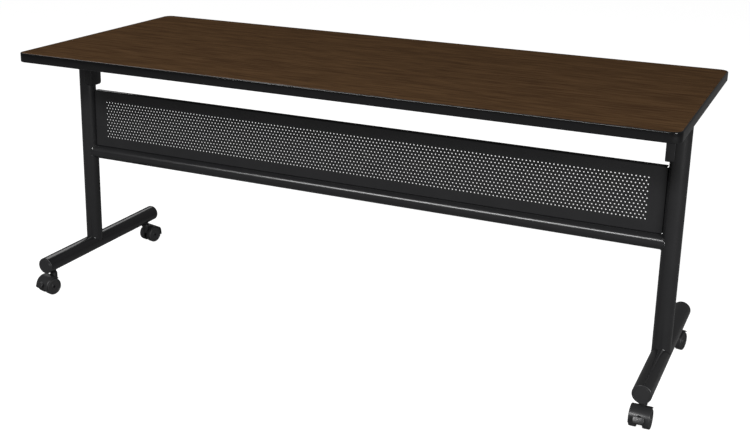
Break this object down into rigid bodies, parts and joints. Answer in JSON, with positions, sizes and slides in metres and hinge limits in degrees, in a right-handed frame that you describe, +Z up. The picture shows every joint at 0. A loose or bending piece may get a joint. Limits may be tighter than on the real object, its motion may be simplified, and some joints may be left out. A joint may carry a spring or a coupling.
{
  "type": "flip top training table",
  "caption": "Rectangular training table whose wood-grain top tips up on T-shaped tube legs with braked casters, a cross beam and a perforated modesty panel.",
  "frame": {"origin": "on the floor under the middle of the top", "axes": "+X along the length of the top, -Y the panel side, +Y the side where people sit, +Z up"},
  "size_m": [1.829, 0.7625, 0.737],
  "materials": {
    "laminate": "dark walnut wood-grain laminate, satin",
    "board": "particle board core, raw",
    "backer": "dark backing sheet",
    "edge": "black edge band with a soft sheen",
    "powder_coat": "black powder coat, satin",
    "zinc": "zinc-plated steel",
    "nylon": "black moulded nylon",
    "wheel": "dark grey tread"
  },
  "bodies": {
    "base": {"column_left": "powder_coat", "column_cap_left": "nylon", "foot_left": "powder_coat", "foot_cap_front_left": "nylon", "foot_cap_back_left": "nylon", "pivot_bolt_left": "zinc", "panel_screw_upper_left": "zinc", "panel_screw_lower_left": "zinc", "column_right": "powder_coat", "column_cap_right": "nylon", "foot_right": "powder_coat", "foot_cap_front_right": "nylon", "foot_cap_back_right": "nylon", "pivot_bolt_right": "zinc", "panel_screw_upper_right": "zinc", "panel_screw_lower_right": "zinc", "cross_beam": "powder_coat", "modesty_panel": "powder_coat", "caster_stem_front_left": "zinc", "caster_stem_front_right": "zinc", "caster_stem_back_left": "zinc", "caster_stem_back_right": "zinc"},
    "top": {"top_core": "board", "top_laminate": "laminate", "underside_backer": "backer", "edge_band": "edge", "pivot_bush_left": "nylon", "hinge_bracket_left": "powder_coat", "lock_spring_left": "zinc", "bracket_screw_left_1": "zinc", "bracket_screw_left_2": "zinc", "bracket_screw_left_3": "zinc", "pivot_bush_right": "nylon", "hinge_bracket_right": "powder_coat", "lock_spring_right": "zinc", "bracket_screw_right_1": "zinc", "bracket_screw_right_2": "zinc", "bracket_screw_right_3": "zinc"},
    "lock_pin_left": {"lock_pin_left": "nylon"},
    "lock_pin_right": {"lock_pin_right": "nylon"},
    "caster_front_left": {"caster_hood_front_left": "nylon", "caster_axle_front_left": "zinc"},
    "wheel_near_front_left": {"caster_wheel_near_front_left": "wheel"},
    "wheel_far_front_left": {"caster_wheel_far_front_left": "wheel"},
    "pedal_front_left": {"brake_pedal_front_left": "nylon"},
    "caster_front_right": {"caster_hood_front_right": "nylon", "caster_axle_front_right": "zinc"},
    "wheel_near_front_right": {"caster_wheel_near_front_right": "wheel"},
    "wheel_far_front_right": {"caster_wheel_far_front_right": "wheel"},
    "pedal_front_right": {"brake_pedal_front_right": "nylon"},
    "caster_back_left": {"caster_hood_back_left": "nylon", "caster_axle_back_left": "zinc"},
    "wheel_near_back_left": {"caster_wheel_near_back_left": "wheel"},
    "wheel_far_back_left": {"caster_wheel_far_back_left": "wheel"},
    "pedal_back_left": {"brake_pedal_back_left": "nylon"},
    "caster_back_right": {"caster_hood_back_right": "nylon", "caster_axle_back_right": "zinc"},
    "wheel_near_back_right": {"caster_wheel_near_back_right": "wheel"},
    "wheel_far_back_right": {"caster_wheel_far_back_right": "wheel"},
    "pedal_back_right": {"brake_pedal_back_right": "nylon"}
  },
  "joints": [
    {"name": "top_flip", "type": "hinge", "parent": "base", "child": "top", "pos_m": [0, -0.116, 0.671], "axis": [1, 0, 0], "range_deg": [0, 90]},
    {"name": "lock_left", "type": "slide", "parent": "top", "child": "lock_pin_left", "axis": [-1, 0, 0], "range_m": [0, 0.008]},
    {"name": "lock_right", "type": "slide", "parent": "top", "child": "lock_pin_right", "axis": [1, 0, 0], "range_m": [0, 0.008]},
    {"name": "swivel_front_left", "type": "hinge", "parent": "base", "child": "caster_front_left", "pos_m": [-0.878, -0.321, 0.062], "axis": [0, 0, 1], "continuous": true},
    {"name": "spin_near_front_left", "type": "hinge", "parent": "caster_front_left", "child": "wheel_near_front_left", "pos_m": [-0.88236, -0.33847, 0.025], "axis": [0.9703, -0.2419, 0], "continuous": true},
    {"name": "spin_far_front_left", "type": "hinge", "parent": "caster_front_left", "child": "wheel_far_front_left", "pos_m": [-0.88236, -0.33847, 0.025], "axis": [0.9703, -0.2419, 0], "continuous": true},
    {"name": "brake_front_left", "type": "hinge", "parent": "caster_front_left", "child": "pedal_front_left", "pos_m": [-0.88697, -0.35697, 0.03786], "axis": [0.9703, -0.2419, 0], "range_deg": [0, 15]},
    {"name": "swivel_front_right", "type": "hinge", "parent": "base", "child": "caster_front_right", "pos_m": [0.878, -0.321, 0.062], "axis": [0, 0, 1], "continuous": true},
    {"name": "spin_near_front_right", "type": "hinge", "parent": "caster_front_right", "child": "wheel_near_front_right", "pos_m": [0.878, -0.339, 0.025], "axis": [1, 0, 0], "continuous": true},
    {"name": "spin_far_front_right", "type": "hinge", "parent": "caster_front_right", "child": "wheel_far_front_right", "pos_m": [0.878, -0.339, 0.025], "axis": [1, 0, 0], "continuous": true},
    {"name": "brake_front_right", "type": "hinge", "parent": "caster_front_right", "child": "pedal_front_right", "pos_m": [0.878, -0.35807, 0.03786], "axis": [1, 0, 0], "range_deg": [0, 15]},
    {"name": "swivel_back_left", "type": "hinge", "parent": "base", "child": "caster_back_left", "pos_m": [-0.878, 0.16, 0.062], "axis": [0, 0, 1], "continuous": true},
    {"name": "spin_near_back_left", "type": "hinge", "parent": "caster_back_left", "child": "wheel_near_back_left", "pos_m": [-0.87365, 0.17747, 0.025], "axis": [-0.9703, 0.2419, 0], "continuous": true},
    {"name": "spin_far_back_left", "type": "hinge", "parent": "caster_back_left", "child": "wheel_far_back_left", "pos_m": [-0.87365, 0.17747, 0.025], "axis": [-0.9703, 0.2419, 0], "continuous": true},
    {"name": "brake_back_left", "type": "hinge", "parent": "caster_back_left", "child": "pedal_back_left", "pos_m": [-0.86903, 0.19597, 0.03786], "axis": [-0.9703, 0.2419, 0], "range_deg": [0, 15]},
    {"name": "swivel_back_right", "type": "hinge", "parent": "base", "child": "caster_back_right", "pos_m": [0.878, 0.16, 0.062], "axis": [0, 0, 1], "continuous": true},
    {"name": "spin_near_back_right", "type": "hinge", "parent": "caster_back_right", "child": "wheel_near_back_right", "pos_m": [0.87487, 0.14227, 0.025], "axis": [0.9848, -0.1736, 0], "continuous": true},
    {"name": "spin_far_back_right", "type": "hinge", "parent": "caster_back_right", "child": "wheel_far_back_right", "pos_m": [0.87487, 0.14227, 0.025], "axis": [0.9848, -0.1736, 0], "continuous": true},
    {"name": "brake_back_right", "type": "hinge", "parent": "caster_back_right", "child": "pedal_back_right", "pos_m": [0.87156, 0.12349, 0.03786], "axis": [0.9848, -0.1736, 0], "range_deg": [0, 15]}
  ]
}
